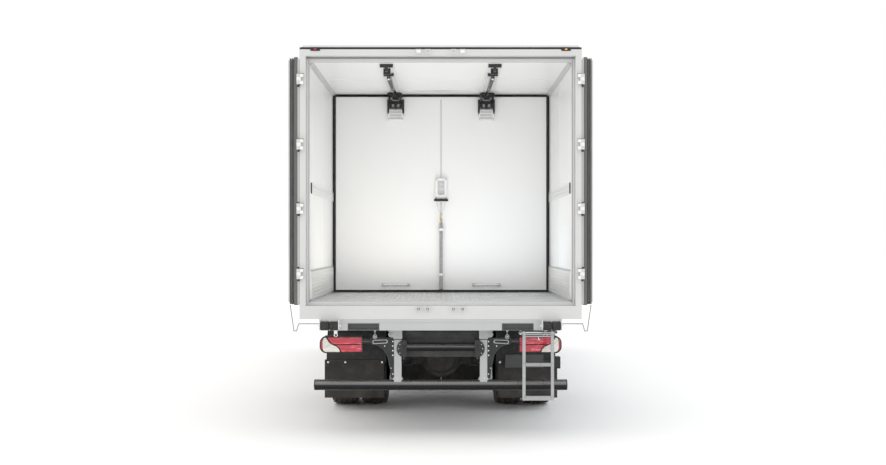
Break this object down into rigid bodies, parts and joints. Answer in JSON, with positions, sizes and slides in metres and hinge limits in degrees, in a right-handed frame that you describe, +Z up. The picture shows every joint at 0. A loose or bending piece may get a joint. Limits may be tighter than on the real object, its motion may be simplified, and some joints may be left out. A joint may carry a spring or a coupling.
{
  "type": "box truck with open rear doors",
  "caption": "Two-axle rigid truck with an insulated box body, hinged rear doors folded along its sides, steered front wheels, tilting cab, folding ladder and dock rollers.",
  "frame": {"origin": "on the ground, midway along the truck's length and on its centre plane", "axes": "+X to the truck's right, +Y forward, +Z up"},
  "size_m": [3.1, 9.19, 3.644],
  "materials": {
    "body_panel": "satin white gelcoat",
    "portal_steel": "white powder coat",
    "floor_metal": "ribbed aluminium",
    "rail_metal": "extruded aluminium",
    "bright_aluminium": "mill aluminium",
    "grey_steel": "light grey paint",
    "chassis_paint": "satin black chassis paint",
    "cast_black": "black cast",
    "black_plastic": "grained black plastic",
    "flap_rubber": "black rubber",
    "lamp_red": "red lens",
    "lamp_clear": "clear lens",
    "cab_paint": "gloss white",
    "cab_trim": "dark trim",
    "seat_fabric": "dark woven",
    "window_glass": "tinted glass",
    "wheel_steel": "silver paint",
    "tyre_rubber": "matt rubber",
    "zinc_wire": "zinc plated",
    "bumper_paint": "gloss white"
  },
  "bodies": {
    "chassis": {"box_floor": "floor_metal", "box_front": "body_panel", "box_roof": "body_panel", "box_sides": "body_panel", "box_subframe": "grey_steel", "buffer_rollers": "flap_rubber", "bulkhead_gear": "portal_steel", "bulkhead_panel": "body_panel", "chassis_frame": "chassis_paint", "door_holders": "zinc_wire", "engine_gearbox": "cast_black", "fridge_unit": "cab_paint", "front_axle_beam": "cast_black", "front_bumper": "bumper_paint", "front_mudguards": "black_plastic", "headlamps": "lamp_clear", "ladder_bracket": "bright_aluminium", "lamp_arms": "chassis_paint", "load_rails": "rail_metal", "mud_flaps": "flap_rubber", "rear_axle": "cast_black", "rear_cross_tube": "chassis_paint", "rear_mudguards": "black_plastic", "rear_portal": "portal_steel", "roller_brackets": "portal_steel", "side_boxes": "black_plastic", "side_guards": "bright_aluminium", "suspension": "cast_black", "tail_lamps": "lamp_red", "tanks": "bright_aluminium", "underrun_bar": "chassis_paint", "underrun_posts": "grey_steel"},
    "cab": {"cab_shell": "cab_paint", "windscreen": "window_glass", "grille": "black_plastic", "dashboard": "cab_trim", "seats": "seat_fabric"},
    "cab_door_left": {"cab_door_left": "cab_paint", "door_glass_left": "window_glass", "mirror_left": "black_plastic"},
    "cab_door_right": {"cab_door_right": "cab_paint", "door_glass_right": "window_glass", "mirror_right": "black_plastic"},
    "steering_wheel": {"steering_wheel": "cab_trim"},
    "knuckle_left": {"knuckle_left": "cast_black"},
    "knuckle_right": {"knuckle_right": "cast_black"},
    "track_rod": {"track_rod": "cast_black"},
    "wheel_front_left": {"rim_front_left": "wheel_steel", "tyre_front_left": "tyre_rubber"},
    "wheel_front_right": {"rim_front_right": "wheel_steel", "tyre_front_right": "tyre_rubber"},
    "wheel_rear_left": {"rims_rear_left": "wheel_steel", "tyres_rear_left": "tyre_rubber"},
    "wheel_rear_right": {"rims_rear_right": "wheel_steel", "tyres_rear_right": "tyre_rubber"},
    "rear_door_left": {"rear_door_left": "body_panel", "lock_gear_left": "zinc_wire"},
    "rear_door_right": {"rear_door_right": "body_panel", "lock_gear_right": "zinc_wire"},
    "ladder": {"ladder": "bright_aluminium"}
  },
  "joints": [
    {"name": "cab_tilt", "type": "hinge", "parent": "chassis", "child": "cab", "pos_m": [0, 4.44, 0.96], "axis": [-1, 0, 0], "range_deg": [0, 55]},
    {"name": "cab_door_left_hinge", "type": "hinge", "parent": "cab", "child": "cab_door_left", "pos_m": [-1.22, 4.3485, 1.4], "axis": [0, 0, -1], "range_deg": [0, 75]},
    {"name": "cab_door_right_hinge", "type": "hinge", "parent": "cab", "child": "cab_door_right", "pos_m": [1.22, 4.3485, 1.4], "axis": [0, 0, 1], "range_deg": [0, 75]},
    {"name": "steer_left", "type": "hinge", "parent": "chassis", "child": "knuckle_left", "pos_m": [-0.82, 3.215, 0.522], "axis": [0, 0, 1], "range_deg": [-42, 42]},
    {"name": "steer_right", "type": "hinge", "parent": "chassis", "child": "knuckle_right", "pos_m": [0.82, 3.215, 0.522], "axis": [0, 0, 1], "range_deg": [-42, 42]},
    {"name": "track_rod_pivot", "type": "hinge", "parent": "knuckle_left", "child": "track_rod", "pos_m": [-0.82, 3.015, 0.385], "axis": [0, 0, 1], "range_deg": [-42, 42]},
    {"name": "steering_wheel_turn", "type": "hinge", "parent": "cab", "child": "steering_wheel", "pos_m": [-0.7, 4.05, 1.76], "axis": [0, -0.6167, 0.7872], "range_deg": [-672, 672]},
    {"name": "wheel_front_left_spin", "type": "hinge", "parent": "knuckle_left", "child": "wheel_front_left", "pos_m": [-1.02, 3.215, 0.522], "axis": [1, 0, 0], "continuous": true},
    {"name": "wheel_front_right_spin", "type": "hinge", "parent": "knuckle_right", "child": "wheel_front_right", "pos_m": [1.02, 3.215, 0.522], "axis": [1, 0, 0], "continuous": true},
    {"name": "wheel_rear_left_spin", "type": "hinge", "parent": "chassis", "child": "wheel_rear_left", "pos_m": [-0.916, -2.135, 0.522], "axis": [1, 0, 0], "continuous": true},
    {"name": "wheel_rear_right_spin", "type": "hinge", "parent": "chassis", "child": "wheel_rear_right", "pos_m": [0.916, -2.135, 0.522], "axis": [1, 0, 0], "continuous": true},
    {"name": "rear_door_left_hinge", "type": "hinge", "parent": "chassis", "child": "rear_door_left", "pos_m": [-1.303, -4.507, 1.54], "axis": [0, 0, 1], "range_deg": [0, 270]},
    {"name": "rear_door_right_hinge", "type": "hinge", "parent": "chassis", "child": "rear_door_right", "pos_m": [1.303, -4.507, 1.54], "axis": [0, 0, -1], "range_deg": [0, 270]},
    {"name": "ladder_swing", "type": "hinge", "parent": "chassis", "child": "ladder", "pos_m": [0.896, -4.507, 1.001], "axis": [-1, 0, 0], "range_deg": [0, 90]}
  ],
  "couplings": [
    {"joint": "steer_right", "follows": "steer_left", "ratio": 1},
    {"joint": "track_rod_pivot", "follows": "steer_left", "ratio": -1},
    {"joint": "steering_wheel_turn", "follows": "steer_left", "ratio": 16}
  ]
}
